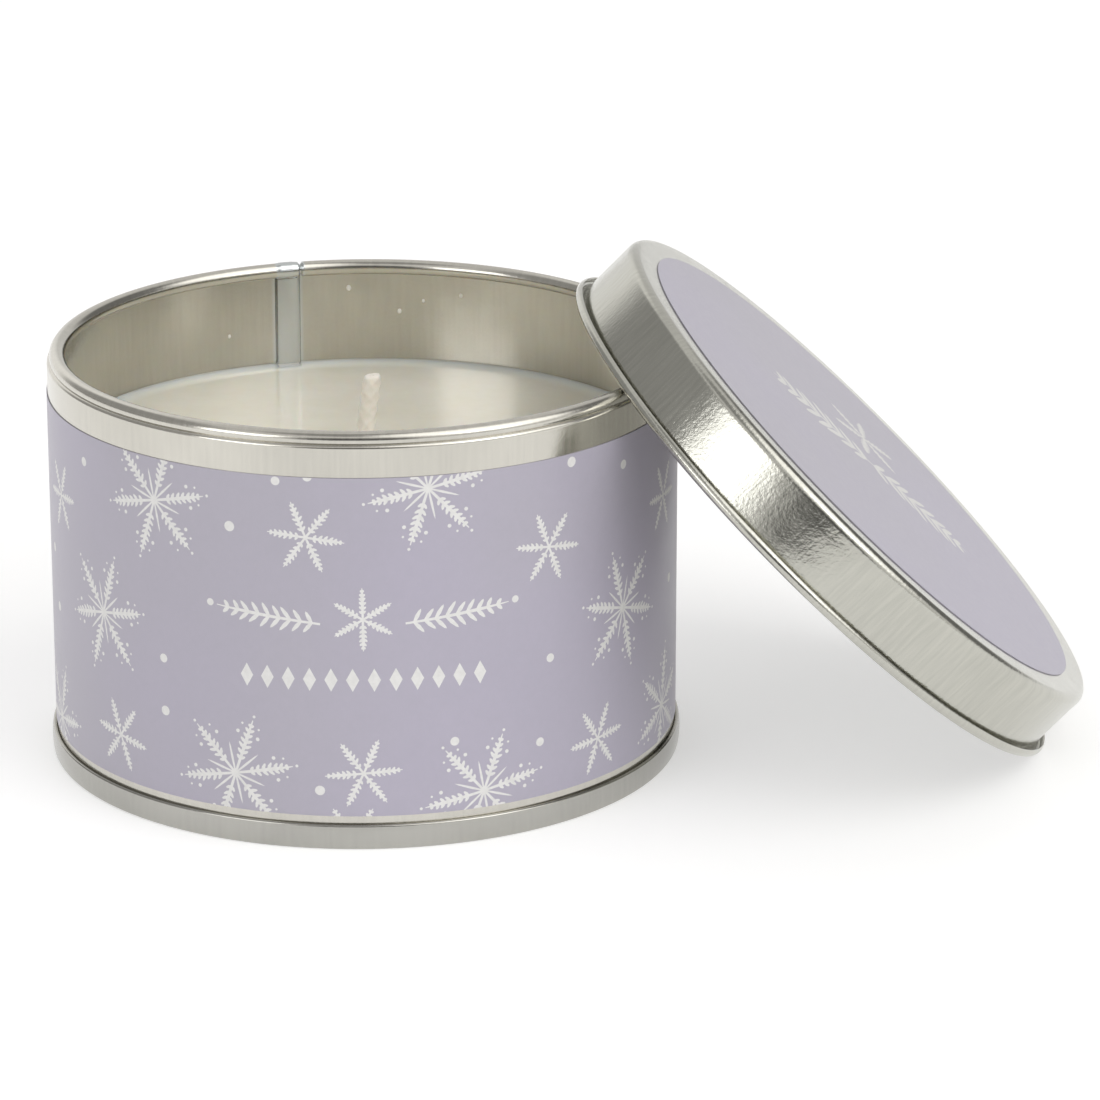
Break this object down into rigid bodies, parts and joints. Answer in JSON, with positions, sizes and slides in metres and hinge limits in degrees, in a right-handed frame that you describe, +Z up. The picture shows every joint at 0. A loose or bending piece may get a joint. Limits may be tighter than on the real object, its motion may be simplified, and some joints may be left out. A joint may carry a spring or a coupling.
{
  "type": "candle tin with lid",
  "caption": "Round tinplate candle tin with a wrap label, filled with wax around a wick, and its labelled slip lid leaning against the rim.",
  "frame": {"origin": "where the tin's axis meets the surface that the tin stands on", "axes": "+Z up along the tin's axis, +X towards the side where the lid leans"},
  "size_m": [0.1285, 0.0812, 0.0617],
  "materials": {
    "tin_body": "satin",
    "tin_base": "satin",
    "seam_compound": "matte",
    "body_label": "satin",
    "base_label": "matte",
    "wax": "satin",
    "wick": "matte",
    "wick_sustainer": "satin",
    "sustainer_dot": "matte",
    "lid": "satin",
    "lid_label": "satin"
  },
  "bodies": {
    "tin": {"tin_body": "tin_body", "tin_base": "tin_base", "seam_compound": "seam_compound", "body_label": "body_label", "base_label": "base_label", "wax": "wax", "wick": "wick", "wick_sustainer": "wick_sustainer", "sustainer_dot": "sustainer_dot"},
    "lid": {"lid": "lid", "lid_label": "lid_label"}
  },
  "joints": [
    {"name": "lid_lift", "type": "slide", "parent": "tin", "child": "lid", "axis": [0.6959, 0, 0.7181], "range_m": [0, 0.06]}
  ]
}
